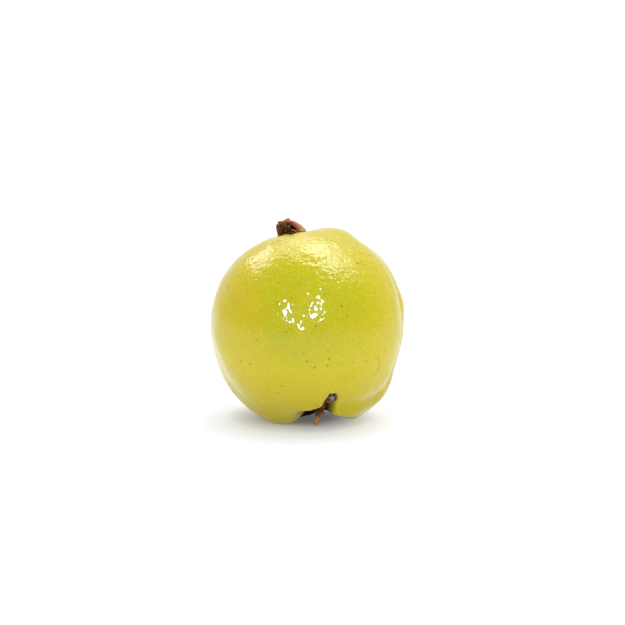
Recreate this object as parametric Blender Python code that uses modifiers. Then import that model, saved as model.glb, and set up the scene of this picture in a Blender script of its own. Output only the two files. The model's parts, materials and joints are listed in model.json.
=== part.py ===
"""A common guava, apple-shaped, picked with its stalk, resting on the lobes of its stem end.

The fruit is modelled in its own frame: +Z runs from the stem end to the flower end, and the two poles of the
fruit are the stem cavity and the basin that holds the dried calyx. An empty then leans that frame as the fruit
lies. In the world +X is the viewer's right, +Y points away from the viewer and +Z is up, with the origin on the
floor under the middle of the whole object.

Directions on the fruit are given by two angles in degrees: azimuth, counted about the fruit's axis from its own
+X, and polar, counted from the stem end (0) to the flower end (180).
"""

import math
import random

import bmesh
import bpy
import numpy as np
from mathutils import Euler, Matrix, Quaternion, Vector

MM = 0.001

# Driving dimensions, in metres
FRUIT_RADIUS = 36.0 * MM
MIDDLE_HEIGHT = 35.1 * MM  # the fruit's middle above the floor
STEM_CAVITY_DEPTH = 11.0 * MM
CALYX_BASIN_DEPTH = 2.6 * MM
CALYX_RADIUS = 5.6 * MM
SEPAL_THICKNESS = 0.85 * MM
CLEARANCE = 0.3 * MM  # between pieces that touch on the real fruit

# The fruit leans back, away from the viewer, and to the left
LEAN_BACK = math.radians(11.7)
LEAN_LEFT = math.radians(9.1)
FLOOR_MIDDLE = Vector((-0.24, 0.0, 0.0)) * MM  # the floor under the fruit's middle

FRUIT_SEGMENTS = 84
FRUIT_RINGS = 60
# The mesh is finer towards the stem end and towards the front, where the cleft is
RING_POWER = 1.3
SEGMENT_CROWDING = 0.35
CLEFT_AZIMUTH = -82.0

STEM_CAVITY_SPREAD = 12.5  # degrees from the stem end
STEM_CAVITY_POWER = 3.0
CALYX_BASIN_SPREAD = 15.0

# Broad swellings of the flesh: azimuth, polar, height in mm, spread in degrees
SWELLINGS = {
    "left_foot": (-167, 25, 2.0, 13),
    "left_low": (-175, 42, 1.6, 15),
    "left_flank": (172, 60, 1.3, 15),
    "right_foot": (32, 19, 3.5, 13),
    "right_toe": (-38, 24, 2.6, 11),
    "right_low": (2, 38, 3.0, 14),
    "back_foot": (128, 37, 1.4, 12),
    "back_right": (75, 60, 0.8, 25),
    "left_hollow": (157, 27, -1.3, 8),
    "right_shoulder": (0, 122, 1.7, 20),
    "top_shoulder": (-3, 151, 1.9, 13),
    "left_shoulder": (-175, 157, -0.6, 12),
    "right_bump": (4, 92, 0.6, 6),
    "front_arch": (-112, 21, -1.5, 7),
    "stalk_end_pit": (-75, 38.6, -1.6, 3.5),
    "far_lobe": (9, 96, 0.8, 10),
    "far_lobe_low": (9, 76, 0.3, 8),
}

# Creases in the flesh, each through points given as azimuth, polar, depth in mm, half width in mm
CREASES = {
    "front_cleft": [
        (-104, 10, 2.5, 5.6), (-98, 18, 6.5, 4.8), (-91, 24, 8.0, 2.9), (-82, 28.6, 8.5, 2.1), (-78.5, 33, 7.5, 1.6),
        (-76.5, 37.6, 4.5, 1.35), (-75.5, 41, 1.5, 1.2), (-75, 43, 0, 1.2),
    ],
    "right_crease": [
        (-72, 36, 0.6, 3.0), (-56, 31, 1.4, 3.0), (-30, 33, 1.6, 3.0), (-9, 41, 1.7, 3.0), (-4, 62, 1.8, 3.0),
        (-5, 80, 1.8, 3.0), (-5, 100, 1.8, 3.0), (-6, 118, 1.6, 3.0), (-4, 134, 1.3, 3.2), (4, 150, 0, 3.4),
    ],
    "left_crease": [(-163, 36, 0, 4.5), (-166, 52, 0.8, 4.5), (-167, 76, 0.7, 4.5), (-167, 105, 0, 4.5)],
    "back_cleft": [(92, 8, 0, 5.0), (82, 20, 2.5, 5.0), (78, 34, 2.4, 5.0), (80, 62, 0, 5.0)],
    "back_left_crease": [(140, 20, 0, 5.0), (138, 45, 1.1, 5.0), (142, 100, 1.0, 5.0), (140, 152, 0, 5.0)],
    "back_right_crease": [(42, 26, 0, 5.0), (46, 48, 1.1, 5.0), (40, 105, 1.0, 5.0), (48, 150, 0, 5.0)],
}
CREASE_STEPS = 14  # samples between two points of a crease

# Radial puckers of the skin round the calyx
PUCKER_COUNT = 13
PUCKER_HEIGHT = 0.35 * MM
PUCKER_POLAR = 163.0
PUCKER_SPREAD = 8.0

# Sepals: azimuth, length in mm, width at the base in mm, outward lean and inward curl in degrees, how evenly it
# curls (below 1 it bends most near its base), width of the tip as a share of the base, sideways bend in degrees
SEPALS = {
    "front_left": (-128, 6.1, 8.6, 12, 40, 1.35, 0.66, 6),
    "right": (-26, 11.2, 6.8, -9, 88, 0.8, 0.42, 14),
    "back_right": (48, 5.8, 5.8, -8, 76, 1.0, 0.30, -10),
    "back": (124, 7.9, 6.4, 4, 74, 1.5, 0.42, 8),
    "left": (184, 5.7, 6.6, 20, 34, 1.2, 0.55, -8),
}
SEPAL_ROWS = 6
SEPAL_COLUMNS = 4

# The calyx cup
CALYX_ROOT = 1.4 * MM  # how far it sits in the flesh
CALYX_WALL = 1.3 * MM
CALYX_RIM = 1.5 * MM  # its height above the floor of the basin
CALYX_FLOOR = 0.9 * MM
CALYX_SEGMENTS = 30

# The withered flower in the cup
DISC_RADIUS = 3.6 * MM
DISC_THICKNESS = 1.0 * MM
STAMEN_COUNT = 11

# The stalk: x, y, z and radius in mm, from the floor under the fruit's middle
STALK_ROOT_RADIUS = 1.6 * MM
STALK_SUNK = 1.6 * MM
STALK_SIDES = 12
STALK = [
    (4.0, -7.4, 9.2, 1.35), (3.7, -11.5, 9.2, 1.25), (4.3, -16.6, 10.5, 1.2), (6.4, -21.2, 11.8, 1.3),
    (9.0, -25.8, 13.05, 1.6),
]
TWIG = [(6.5, -20.3, 11.0, 0.95), (6.0, -17.7, 8.4, 0.95), (4.9, -15.6, 5.9, 1.05)]
STUB = [(4.4, -15.4, 5.4, 1.0), (4.05, -15.7, 3.8, 1.0), (3.6, -15.6, 2.4, 0.95), (3.1, -15.4, 0.8, 0.95)]
KNOTS = {"knot": (4.5, -15.4, 5.55, 1.6), "small_knot": (5.8, -15.7, 5.0, 0.75)}
TUBE_STEPS = 5
BED_GAP = 0.5  # mm, how much wider than the stalk its groove in the flesh is

# Colours from the photo, as linear RGB
SKIN_COLOUR = (0.58, 0.52, 0.045, 1.0)
CALYX_COLOUR = (0.14, 0.055, 0.025, 1.0)
REMNANT_COLOUR = (0.10, 0.06, 0.04, 1.0)
STALK_COLOUR = (0.17, 0.07, 0.025, 1.0)

random.seed(11)


def clear_scene():
    for obj in list(bpy.data.objects):
        bpy.data.objects.remove(obj)


def make_collection(name):
    collection = bpy.data.collections.new(name)
    bpy.context.scene.collection.children.link(collection)
    return collection


def make_material(name, colour, roughness):
    material = bpy.data.materials.new(name)
    material.use_nodes = True
    shader = material.node_tree.nodes["Principled BSDF"]
    shader.inputs["Base Color"].default_value = colour
    shader.inputs["Roughness"].default_value = roughness
    shader.inputs["Metallic"].default_value = 0.0
    return material


def direction(azimuth, polar):
    """The unit vector of a direction on the fruit, in the fruit's frame."""
    a, p = math.radians(azimuth), math.radians(polar)
    return np.array([math.sin(p) * math.cos(a), math.sin(p) * math.sin(a), -math.cos(p)])


def angles_to(directions, towards):
    """The angle in degrees between each direction and one other."""
    return np.degrees(np.arccos(np.clip(directions @ towards, -1.0, 1.0)))


def crease_depths(directions, points):
    """How deep a crease cuts at each direction, in mm: a rounded valley along a smooth path of points."""
    path = [(direction(a, p), depth, half_width) for a, p, depth, half_width in points]
    path = [path[0], *path, path[-1]]
    samples, depths, half_widths = [], [], []
    for (d0, _, _), (d1, h1, w1), (d2, h2, w2), (d3, _, _) in zip(path, path[1:], path[2:], path[3:]):
        for t in np.linspace(0.0, 1.0, CREASE_STEPS, endpoint=False):
            # A Catmull-Rom curve through the points, laid back on the sphere
            curve = 0.5 * (2 * d1 + (d2 - d0) * t + (2 * d0 - 5 * d1 + 4 * d2 - d3) * t**2
                           + (3 * d1 - 3 * d2 + d3 - d0) * t**3)
            ease = t * t * (3 - 2 * t)
            samples.append(curve / np.linalg.norm(curve))
            depths.append(h1 + (h2 - h1) * ease)
            half_widths.append(w1 + (w2 - w1) * ease)
    cosines = np.clip(directions @ np.array(samples).T, -1.0, 1.0)
    nearest = cosines.argmax(axis=1)
    distance = np.arccos(cosines.max(axis=1)) * FRUIT_RADIUS / MM
    return np.array(depths)[nearest] * np.exp(-((distance / np.array(half_widths)[nearest]) ** 2))


def fruit_radius(directions):
    """The skin's distance from the fruit's middle along each direction, in metres."""
    polar = np.degrees(np.arccos(np.clip(-directions[:, 2], -1.0, 1.0)))
    azimuth = np.arctan2(directions[:, 1], directions[:, 0])
    radius = np.full(len(directions), FRUIT_RADIUS)
    for around, along, height, spread in SWELLINGS.values():
        reach = angles_to(directions, direction(around, along)) / spread
        radius += height * MM * np.exp(-(reach**2))
    for points in CREASES.values():
        radius -= crease_depths(directions, points) * MM
    radius -= STEM_CAVITY_DEPTH * np.exp(-((polar / STEM_CAVITY_SPREAD) ** STEM_CAVITY_POWER))
    radius -= CALYX_BASIN_DEPTH * np.exp(-(((180.0 - polar) / CALYX_BASIN_SPREAD) ** 2))
    ring = np.exp(-(((polar - PUCKER_POLAR) / PUCKER_SPREAD) ** 2))
    uneven = 0.65 + 0.35 * np.sin(3 * azimuth + 1.0)
    radius += PUCKER_HEIGHT * ring * uneven * np.sin(PUCKER_COUNT * azimuth + 0.8 * np.sin(2 * azimuth))
    return radius


def pose_matrix():
    """From the fruit's frame to the world."""
    lean = Euler((-LEAN_BACK, -LEAN_LEFT, 0.0), "XYZ").to_matrix().to_4x4()
    middle = FLOOR_MIDDLE + Vector((0.0, 0.0, MIDDLE_HEIGHT))
    return Matrix.Translation(middle) @ lean


def in_fruit_frame(x, y, z):
    """A world point, in mm from the floor under the fruit's middle, in the fruit's frame."""
    return pose_matrix().inverted() @ (Vector((x, y, z)) * MM)


def add_object(name, mesh, collection, parent, material=None):
    obj = bpy.data.objects.new(name, mesh)
    collection.objects.link(obj)
    obj.parent = parent
    if material:
        mesh.materials.clear()
        mesh.materials.append(material)
    mesh.shade_smooth()
    mesh.set_sharp_from_angle(angle=math.radians(40))
    return obj


def make_cutter(name, bm, collection, parent):
    mesh = bpy.data.meshes.new(name)
    bm.to_mesh(mesh)
    bm.free()
    cutter = bpy.data.objects.new(name, mesh)
    collection.objects.link(cutter)
    cutter.parent = parent
    cutter.hide_render = True
    cutter.display_type = "WIRE"
    return cutter


def add_boolean(obj, other, operation):
    modifier = obj.modifiers.new(operation.lower(), "BOOLEAN")
    modifier.operation = operation
    modifier.solver = "EXACT"
    modifier.object = other


def seat_cutter(name, radius, low, high, collection, parent):
    """A plain cylinder on the fruit's axis, from low to high along it."""
    bm = bmesh.new()
    bmesh.ops.create_cone(bm, cap_ends=True, segments=28, radius1=radius, radius2=radius, depth=high - low)
    bmesh.ops.translate(bm, verts=bm.verts, vec=(0, 0, (low + high) / 2))
    return make_cutter(name, bm, collection, parent)


def floor_in_fruit_frame():
    """A point of the floor and the floor's upward normal, in the fruit's frame."""
    inverse = pose_matrix().inverted()
    return inverse @ Vector((0, 0, 0)), inverse.to_3x3() @ Vector((0, 0, 1))


def crowded(co):
    """A vertex of the even sphere, moved along the sphere so that the mesh is finer at the stem end and the cleft."""
    polar = 180.0 * (math.acos(max(-1.0, min(1.0, -co.z))) / math.pi) ** RING_POWER
    azimuth = math.atan2(co.y, co.x)
    azimuth += SEGMENT_CROWDING * math.sin(azimuth - math.radians(CLEFT_AZIMUTH) + math.pi)
    return direction(math.degrees(azimuth), polar)


def make_fruit(collection, cutters, parent):
    """The whole fruit as one solid: lobes, creases, stem cavity and basin, with flats where it meets the floor."""
    bm = bmesh.new()
    bmesh.ops.create_uvsphere(bm, u_segments=FRUIT_SEGMENTS, v_segments=FRUIT_RINGS, radius=1.0)
    directions = np.array([crowded(v.co) for v in bm.verts])
    for vert, towards, radius in zip(bm.verts, directions, fruit_radius(directions)):
        vert.co = towards * radius
    point, normal = floor_in_fruit_frame()
    bmesh.ops.bisect_plane(
        bm, geom=[*bm.verts, *bm.edges, *bm.faces], plane_co=point, plane_no=-normal, clear_outer=True
    )
    bmesh.ops.holes_fill(bm, edges=[e for e in bm.edges if e.is_boundary], sides=0)
    bmesh.ops.recalc_face_normals(bm, faces=bm.faces)
    mesh = bpy.data.meshes.new("fruit")
    bm.to_mesh(mesh)
    bm.free()
    fruit = add_object("fruit", mesh, collection, parent, make_material("waxy_skin", SKIN_COLOUR, 0.35))
    seat = seat_cutter(
        "calyx_seat", CALYX_RADIUS + 1.3 * CLEARANCE, calyx_floor() - CALYX_ROOT - CLEARANCE, 2 * FRUIT_RADIUS,
        cutters, parent,
    )
    add_boolean(fruit, seat, "DIFFERENCE")
    # The socket is roomy, because the end of the stalk in it is a little tilted
    root = [(x, y, z, radius + 1.3 * BED_GAP) for x, y, z, radius in stalk_root()]
    socket = [(0, 0, root[0][2] + 2.5 * CLEARANCE / MM, root[0][3]), root[1], (0, 0, root[1][2] - 1.0, root[1][3])]
    beds = {"stalk_socket": socket}
    for name, points in (("stalk_bed", STALK), ("twig_bed", TWIG)):
        bed = [(x, y, z, radius + BED_GAP) for x, y, z, radius in from_floor(points)]
        # The groove runs on a little past both ends
        start = tuple(1.3 * a - 0.3 * b for a, b in zip(bed[0], bed[1]))
        end = tuple(1.3 * a - 0.3 * b for a, b in zip(bed[-1], bed[-2]))
        beds[name] = [start, *bed, end]
    for name, points in beds.items():
        add_boolean(fruit, tube(name, points, STALK_SIDES, cutters, parent), "DIFFERENCE")
    return fruit


def calyx_floor():
    """The level of the basin's floor along the fruit's axis."""
    return FRUIT_RADIUS - CALYX_BASIN_DEPTH


def make_cup(collection, parent):
    """The calyx tube as a turned profile: a shallow cup with a rounded rim, open upwards."""
    bottom = calyx_floor() - CALYX_ROOT
    rim = calyx_floor() + CALYX_RIM
    inner = CALYX_RADIUS - CALYX_WALL
    profile = [
        (0.0, bottom),
        (CALYX_RADIUS - 0.4 * MM, bottom),
        (CALYX_RADIUS, bottom + 0.4 * MM),
        (CALYX_RADIUS, calyx_floor() - 0.1 * MM),
        (CALYX_RADIUS - 0.5 * MM, calyx_floor() + 0.6 * MM),
        (CALYX_RADIUS - 0.4 * MM, rim - 0.3 * MM),
        (CALYX_RADIUS - 0.7 * MM, rim),
        (inner + 0.1 * MM, rim - 0.1 * MM),
        (inner, rim - 0.5 * MM),
        (inner - 0.2 * MM, bottom + CALYX_FLOOR + 0.3 * MM),
        (inner - 0.7 * MM, bottom + CALYX_FLOOR),
        (0.0, bottom + CALYX_FLOOR),
    ]
    bm = bmesh.new()
    verts = [bm.verts.new((x, 0.0, z)) for x, z in profile]
    for a, b in zip(verts, verts[1:]):
        bm.edges.new((a, b))
    bmesh.ops.spin(
        bm, geom=[*bm.verts, *bm.edges], cent=(0, 0, 0), axis=(0, 0, 1), angle=2 * math.pi, steps=CALYX_SEGMENTS
    )
    bmesh.ops.remove_doubles(bm, verts=bm.verts, dist=0.01 * MM)
    bmesh.ops.recalc_face_normals(bm, faces=bm.faces)
    mesh = bpy.data.meshes.new("calyx")
    bm.to_mesh(mesh)
    bm.free()
    return add_object("calyx", mesh, collection, parent, make_material("dried_calyx", CALYX_COLOUR, 0.8))


def sepal_point(values, along, across):
    """A point on a sepal's middle surface. Along runs from 0 at the base to 1 at the tip, across from -1 to 1."""
    azimuth, length, width, lean, curl, evenness, tip, bend = values
    ring = CALYX_RADIUS - CALYX_WALL / 2
    steps = 12
    inward, up = 0.0, 0.0
    for i in range(steps):
        share = (i + 0.5) / steps * along
        angle = math.radians(curl * share**evenness - lean)
        inward += math.sin(angle) * length * MM * along / steps
        up += math.cos(angle) * length * MM * along / steps
    half = width * MM * (1.0 - (1.0 - tip) * along**1.6) / 2
    turn = across * half / ring + math.radians(bend) * along**2
    wave = 0.35 * MM * math.sin(5.0 * along + azimuth) * across * along
    # The blade stays cupped round the fruit's axis at its base and flattens as it leans over the middle
    cupped = ring * (1.0 - math.cos(turn)) * (1.0 - 0.3 * along)
    point = Vector((ring - inward - cupped, ring * math.sin(turn), calyx_floor() + 0.2 * MM + up + wave))
    return Quaternion((0, 0, 1), math.radians(azimuth)) @ point


def make_sepal(name, values, collection, parent):
    bm = bmesh.new()
    bmesh.ops.create_grid(bm, x_segments=SEPAL_COLUMNS, y_segments=SEPAL_ROWS, size=1.0)
    for vert in bm.verts:
        across, along = vert.co.x, (vert.co.y + 1.0) / 2.0
        if along > 0.5:
            # The blade's end is rounded and a little torn
            along *= 1.0 - 0.16 * across * across + 0.05 * math.sin(9.0 * across + values[0])
        vert.co = sepal_point(values, along, across)
    mesh = bpy.data.meshes.new(name)
    bm.to_mesh(mesh)
    bm.free()
    sepal = bpy.data.objects.new(name, mesh)
    collection.objects.link(sepal)
    sepal.parent = parent
    sepal.hide_render = True
    sepal.display_type = "WIRE"
    blade = sepal.modifiers.new("thickness", "SOLIDIFY")
    blade.thickness = SEPAL_THICKNESS
    blade.offset = 0.0
    soft = sepal.modifiers.new("soft edges", "SUBSURF")
    soft.levels = soft.render_levels = 1
    return sepal


def make_calyx(collection, cutters, parent):
    """The dried calyx: a cup in the basin with its five sepals, grown together as one piece."""
    calyx = make_cup(collection, parent)
    for name, values in SEPALS.items():
        add_boolean(calyx, make_sepal(name + "_sepal", values, cutters, parent), "UNION")
    return calyx


def remnant_level():
    """The underside of the withered flower disc, just above the cup's floor."""
    return calyx_floor() - CALYX_ROOT + CALYX_FLOOR + CLEARANCE


def make_remnant(collection, cutters, parent):
    """The withered middle of the flower: a disc in the cup with its style and the stubs of its stamens."""
    bm = bmesh.new()
    bmesh.ops.create_cone(
        bm, cap_ends=True, segments=24, radius1=DISC_RADIUS, radius2=DISC_RADIUS - 0.2 * MM, depth=DISC_THICKNESS
    )
    bmesh.ops.translate(bm, verts=bm.verts, vec=(0, 0, remnant_level() + DISC_THICKNESS / 2))
    mesh = bpy.data.meshes.new("flower_remnant")
    bm.to_mesh(mesh)
    bm.free()
    disc = add_object(
        "flower_remnant", mesh, collection, parent, make_material("withered_flower", REMNANT_COLOUR, 0.9)
    )
    top = (remnant_level() + DISC_THICKNESS) / MM
    style = [(-0.4, 0.0, top - 0.5, 0.6), (-0.4, 0.1, top + 0.9, 0.45), (-0.9, -0.3, top + 1.8, 0.5)]
    add_boolean(disc, tube("style", style, 8, cutters, parent), "UNION")
    for i in range(STAMEN_COUNT):
        turn = math.radians(i * 360.0 / STAMEN_COUNT + random.uniform(-9, 9))
        ring, height = random.uniform(2.0, 2.8), random.uniform(1.0, 1.9)
        x, y = ring * math.cos(turn), ring * math.sin(turn)
        lean_x, lean_y = random.uniform(-0.5, 0.5), random.uniform(-0.5, 0.5)
        stub = [(x, y, top - 0.5, 0.3), (x * 0.93 + lean_x, y * 0.93 + lean_y, top + height, 0.22)]
        add_boolean(disc, tube(f"stamen_{i + 1}", stub, 6, cutters, parent), "UNION")
    return disc


def curve_points(points):
    """A smooth curve through points given as x, y, z and radius, in mm."""
    knots = [np.array(p, dtype=float) for p in points]
    knots = [2 * knots[0] - knots[1], *knots, 2 * knots[-1] - knots[-2]]
    samples = []
    for p0, p1, p2, p3 in zip(knots, knots[1:], knots[2:], knots[3:]):
        for t in np.linspace(0.0, 1.0, TUBE_STEPS, endpoint=False):
            samples.append(0.5 * (2 * p1 + (p2 - p0) * t + (2 * p0 - 5 * p1 + 4 * p2 - p3) * t**2
                                  + (3 * p1 - 3 * p2 + p3 - p0) * t**3))
    samples.append(knots[-2])
    return samples


def tube_mesh(points, sides, knobbly=0.0):
    """A closed, tapering tube along a smooth curve, in metres."""
    samples = curve_points(points)
    bm = bmesh.new()
    side = Vector((1, 0, 0))
    rings = []
    for i, sample in enumerate(samples):
        before, after = samples[max(i - 1, 0)], samples[min(i + 1, len(samples) - 1)]
        along = Vector((after - before)[:3]).normalized()
        side = (side - along * side.dot(along)).normalized()
        up = along.cross(side)
        ring = []
        for k in range(sides):
            turn = 2 * math.pi * k / sides
            radius = sample[3] * (1.0 + knobbly * math.sin(2.1 * i + 3 * turn) + knobbly * math.sin(2 * turn + i))
            offset = (side * math.cos(turn) + up * math.sin(turn)) * float(radius)
            ring.append(bm.verts.new((Vector(sample[:3]) + offset) * MM))
        rings.append(ring)
    for ring, following in zip(rings, rings[1:]):
        for k in range(sides):
            bm.faces.new((ring[k], ring[(k + 1) % sides], following[(k + 1) % sides], following[k]))
    bm.faces.new(list(reversed(rings[0])))
    bm.faces.new(rings[-1])
    bmesh.ops.recalc_face_normals(bm, faces=bm.faces)
    return bm


def tube(name, points, sides, cutters, parent, knobbly=0.0):
    return make_cutter(name, tube_mesh(points, sides, knobbly), cutters, parent)


def lump(name, centre, radius, cutters, parent):
    """A small uneven knot of wood."""
    bm = bmesh.new()
    bmesh.ops.create_icosphere(bm, subdivisions=2, radius=radius * MM)
    for vert in bm.verts:
        x, y, z = vert.co.normalized()
        vert.co *= 1.0 + 0.10 * math.sin(5 * x + 1) * math.cos(4 * y) + 0.08 * math.sin(6 * z)
    bmesh.ops.translate(bm, verts=bm.verts, vec=in_fruit_frame(*centre))
    return make_cutter(name, bm, cutters, parent)


def from_floor(points):
    """Points given in mm from the floor under the fruit's middle, in the fruit's frame and still in mm."""
    return [(*(in_fruit_frame(x, y, z) / MM), radius) for x, y, z, radius in points]


def stalk_root():
    """The first two points of the stalk: sunk in its socket, then standing on the bottom of the cavity."""
    level = -stalk_depth() / MM
    return [(0, 0, level + STALK_SUNK / MM, STALK_ROOT_RADIUS / MM), (0, 0, level, STALK_ROOT_RADIUS / MM)]


def stalk_depth():
    """How far below the fruit's middle the stalk leaves the bottom of the stem cavity."""
    return FRUIT_RADIUS - STEM_CAVITY_DEPTH


def make_stem(collection, cutters, parent):
    """The woody stalk: from its socket to a knot in the cleft, with a cut side twig and a broken stub."""
    mesh = bpy.data.meshes.new("stem")
    bm = tube_mesh(stalk_root() + from_floor(STALK), STALK_SIDES, 0.03)
    bm.to_mesh(mesh)
    bm.free()
    stem = add_object("stem", mesh, collection, parent, make_material("stalk_wood", STALK_COLOUR, 0.8))
    for name, points in (("twig", TWIG), ("stub", STUB)):
        add_boolean(stem, tube(name, from_floor(points), STALK_SIDES, cutters, parent, 0.03), "UNION")
    for name, (*centre, radius) in KNOTS.items():
        add_boolean(stem, lump(name, centre, radius, cutters, parent), "UNION")
    return stem


def main():
    clear_scene()
    parts = make_collection("guava")
    cutters = make_collection("cutters")
    lean = bpy.data.objects.new("lean", None)
    parts.objects.link(lean)
    lean.matrix_world = pose_matrix()
    make_fruit(parts, cutters, lean)
    make_calyx(parts, cutters, lean)
    make_remnant(parts, cutters, lean)
    make_stem(parts, cutters, lean)


main()
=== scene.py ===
"""A dressed guava: waxy pitted skin, a dried calyx with its withered flower, and a woody stalk in the cleft."""

import json
import math
import random

import bpy
from bpy.props import FloatProperty, FloatVectorProperty, IntProperty, PointerProperty
from mathutils import Euler, Matrix, Quaternion, Vector

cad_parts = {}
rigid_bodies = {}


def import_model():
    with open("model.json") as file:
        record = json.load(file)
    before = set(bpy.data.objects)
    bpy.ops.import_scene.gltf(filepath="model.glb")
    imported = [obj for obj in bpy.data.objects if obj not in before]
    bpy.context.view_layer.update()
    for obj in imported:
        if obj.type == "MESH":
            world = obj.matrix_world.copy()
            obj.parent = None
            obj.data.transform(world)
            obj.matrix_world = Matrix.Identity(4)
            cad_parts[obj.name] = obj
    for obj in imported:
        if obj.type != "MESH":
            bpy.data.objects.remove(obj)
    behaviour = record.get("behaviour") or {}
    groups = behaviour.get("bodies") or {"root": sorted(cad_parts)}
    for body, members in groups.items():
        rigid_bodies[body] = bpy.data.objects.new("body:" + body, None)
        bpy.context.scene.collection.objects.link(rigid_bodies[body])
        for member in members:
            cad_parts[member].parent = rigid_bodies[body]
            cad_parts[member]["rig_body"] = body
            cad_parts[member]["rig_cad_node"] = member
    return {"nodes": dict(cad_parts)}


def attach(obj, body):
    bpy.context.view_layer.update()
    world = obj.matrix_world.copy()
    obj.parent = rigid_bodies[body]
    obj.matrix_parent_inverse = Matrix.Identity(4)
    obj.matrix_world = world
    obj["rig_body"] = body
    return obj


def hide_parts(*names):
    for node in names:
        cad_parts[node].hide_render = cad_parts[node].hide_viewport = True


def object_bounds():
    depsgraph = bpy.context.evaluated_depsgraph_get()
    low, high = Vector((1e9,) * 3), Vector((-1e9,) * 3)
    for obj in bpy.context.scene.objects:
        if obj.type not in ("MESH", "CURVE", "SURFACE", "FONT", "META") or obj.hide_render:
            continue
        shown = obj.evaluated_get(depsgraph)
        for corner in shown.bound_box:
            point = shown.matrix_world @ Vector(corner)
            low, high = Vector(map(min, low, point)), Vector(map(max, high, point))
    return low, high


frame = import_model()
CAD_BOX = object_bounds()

bl_info = {
    "name": "Guava",
    "version": (1, 0, 0),
    "blender": (4, 5, 0),
    "location": "View3D > Sidebar > Guava",
    "description": "Models a whole guava with its calyx and stalk round its packed solids",
    "category": "Add Mesh",
}

MM = 0.001

# The fruit's middle and lean, as in the solids: back, away from the viewer, and to the left
MIDDLE = Vector((-0.24, 0.0, 35.1)) * MM
LEAN = Euler((math.radians(-11.7), math.radians(-9.1), 0.0), "XYZ").to_matrix()
FRUIT_FRAME = Matrix.Translation(MIDDLE) @ LEAN.to_4x4()
CALYX_LEVEL = 33.0 * MM  # the basin's floor along the fruit's axis
CALYX_FRAME = FRUIT_FRAME @ Matrix.Translation((0, 0, CALYX_LEVEL))

# The cup of the calyx as radius and height above the basin's floor, in mm, from its foot out, up and back in
CUP_RINGS = (
    (5.3, -1.3), (5.6, -0.9), (6.0, -0.4), (6.8, -0.1), (6.5, 0.15), (5.7, 0.4), (5.4, 0.9), (5.3, 1.3), (5.0, 1.5),
    (4.6, 1.45), (4.35, 1.0), (4.2, 0.2), (3.9, -0.35), (3.2, -0.5),
)
SEPAL_RING = 4.95 * MM  # radius on which the sepals stand

# Sepals: azimuth, length and width in mm, outward lean and inward curl in degrees, how evenly it curls, width of
# the tip as a share of the base, sideways bend in degrees, how pale it has dried outside and how silvery inside
SEPALS = {
    "front_left": (-139, 5.7, 9.0, 14, 46, 1.5, 0.85, 0, 0.08, 0.0),
    "right": (-24, 12.4, 7.6, 11, 114, 0.72, 0.60, 32, 0.95, 0.0),
    "back_right": (86, 5.2, 6.8, 0, 50, 1.4, 0.50, -4, 0.45, 0.8),
    "back": (128, 8.3, 7.4, 4, 74, 1.5, 0.46, 8, 0.80, 0.0),
    "left": (184, 5.6, 6.0, 18, 30, 1.2, 0.70, -8, 0.40, 0.0),
    "tooth": (-64, 3.9, 0.9, -12, 30, 1.0, 0.60, -48, 0.60, 0.0),
}

# Where the lip of the left lobe is drawn out, and how far, in mm
LIP = (
    ((-0.5, -24.3, 8.5), (0.0, 0.0, -0.7)), ((2.0, -25.2, 9.5), (0.3, 0.0, -0.9)),
    ((4.5, -26.1, 10.8), (0.7, -0.1, -0.8)), ((6.3, -28.3, 13.8), (0.9, -0.1, -0.3)),
    ((9.4, -29.0, 16.3), (0.0, 0.0, -0.8)), ((11.4, -27.4, 13.6), (-0.9, 0.0, 0.0)),
)

LIP_REACH = 3.6 * MM

# The place and facing of the healed scar
SCAR = (Vector((23.0, -25.3, 24.1)) * MM, Vector((23.0, -25.3, -11.0)).to_track_quat("Z", "Y").to_euler())

# The stalk as x, y, z and radius in mm from the floor under the object's middle
STALK = ((3.38, -4.75, 12.4, 1.5), (3.63, -5.1, 10.7, 1.5), (3.7, -7.6, 9.2, 1.35), (3.46, -11.5, 9.2, 1.25),
         (4.06, -16.6, 10.5, 1.2), (6.16, -21.2, 11.9, 1.25), (7.9, -24.2, 12.5, 1.6), (8.9, -26.0, 13.1, 1.75))
TWIG = ((6.46, -20.4, 11.2, 0.95), (5.86, -17.7, 8.5, 0.95), (4.76, -15.7, 6.0, 1.05))
STUB = ((4.2, -15.4, 5.4, 1.1), (3.86, -15.7, 3.8, 1.1), (3.4, -15.6, 2.4, 1.0), (2.86, -15.4, 0.95, 0.95))
KNOTS = ((4.26, -15.4, 5.55, 1.55), (5.5, -15.7, 5.0, 0.7), (3.4, -15.9, 6.1, 0.8))


# The photo's scale at the fruit, and how far the skin keeps inside the solids' box at the back
PIXEL = 72.0 / 194.0 * MM
BOX_MARGIN = 0.01 * MM

# The low ring of lamps round the lens: share across and up, width and height in m. It is open at its top
RING = (
    ("ring_left", -0.35, 0.27, 0.025, 0.17),
    ("ring_right", 0.15, 0.31, 0.035, 0.17),
    ("ring_below", -0.12, 0.03, 0.08, 0.022),
)
RING_DISTANCE = 0.75
RING_POWER = 850  # watts for each square metre of lamp


# Small helpers


def linear(text):
    """An sRGB hex colour as linear RGBA."""
    channels = [int(text[i : i + 2], 16) / 255 for i in (1, 3, 5)]
    return (*[c / 12.92 if c <= 0.04045 else ((c + 0.055) / 1.055) ** 2.4 for c in channels], 1.0)


def smooth(low, high, x):
    t = max(0.0, min(1.0, (x - low) / (high - low)))
    return t * t * (3 - 2 * t)


def direction(azimuth, polar):
    """A direction on the fruit in the world: azimuth about its axis, polar from its stem end, in degrees."""
    a, p = math.radians(azimuth), math.radians(polar)
    return LEAN @ Vector((math.sin(p) * math.cos(a), math.sin(p) * math.sin(a), -math.cos(p)))


def deselect_all():
    if bpy.context.mode != "OBJECT":
        bpy.ops.object.mode_set(mode="OBJECT")
    bpy.ops.object.select_all(action="DESELECT")


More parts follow.
